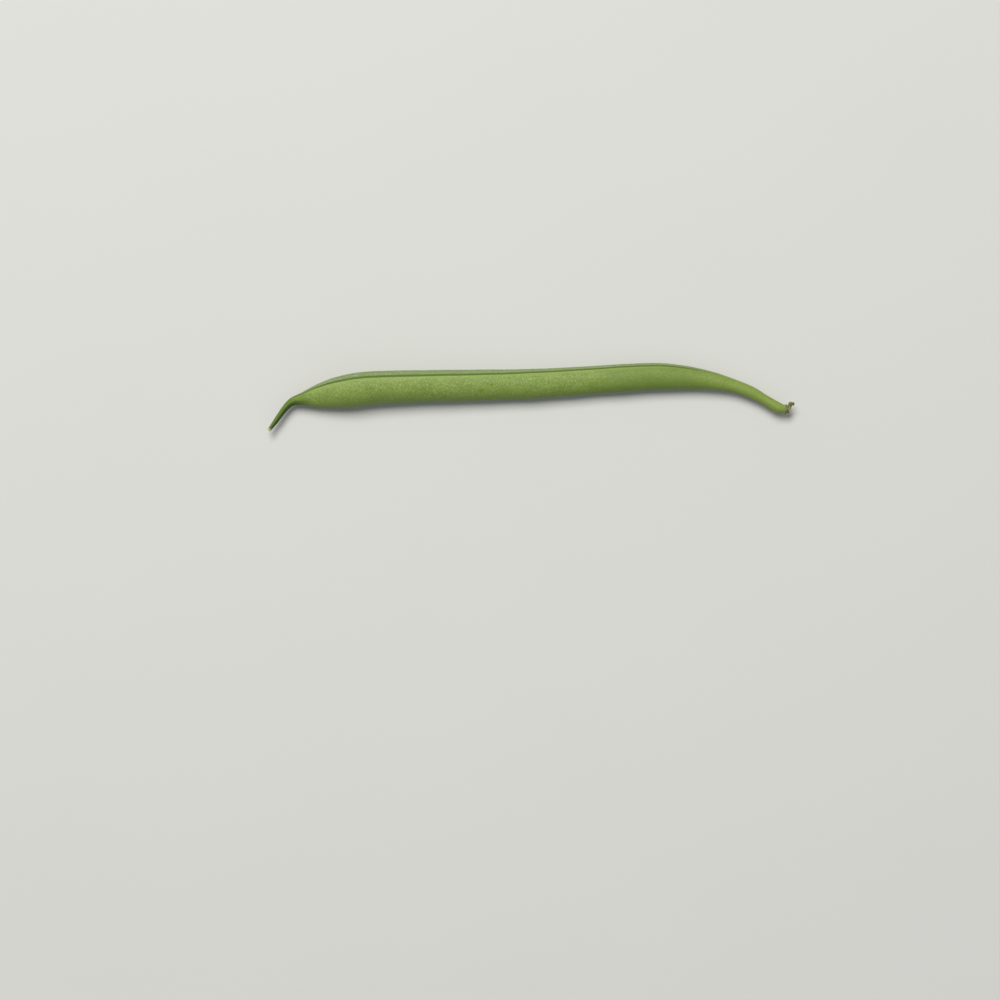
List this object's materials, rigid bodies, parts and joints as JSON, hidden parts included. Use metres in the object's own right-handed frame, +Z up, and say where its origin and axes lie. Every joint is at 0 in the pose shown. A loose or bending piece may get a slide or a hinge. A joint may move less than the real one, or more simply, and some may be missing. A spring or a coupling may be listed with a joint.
{
  "type": "green bean",
  "caption": "Long slender snap-bean pod lying on its side, with a thin curved beak, a pale seam, and the calyx and snapped stalk at its neck.",
  "frame": {"origin": "on the surface that the bean lies on, under the middle of its bounding box", "axes": "+X along the bean from its beak to its stalk, +Y level towards the side that the seam bulges to, +Z up"},
  "size_m": [0.1504, 0.0196, 0.0085],
  "materials": {
    "pod": "matte",
    "stem": "matte"
  },
  "bodies": {
    "root": {"pod": "pod", "stem": "stem"}
  },
  "joints": []
}
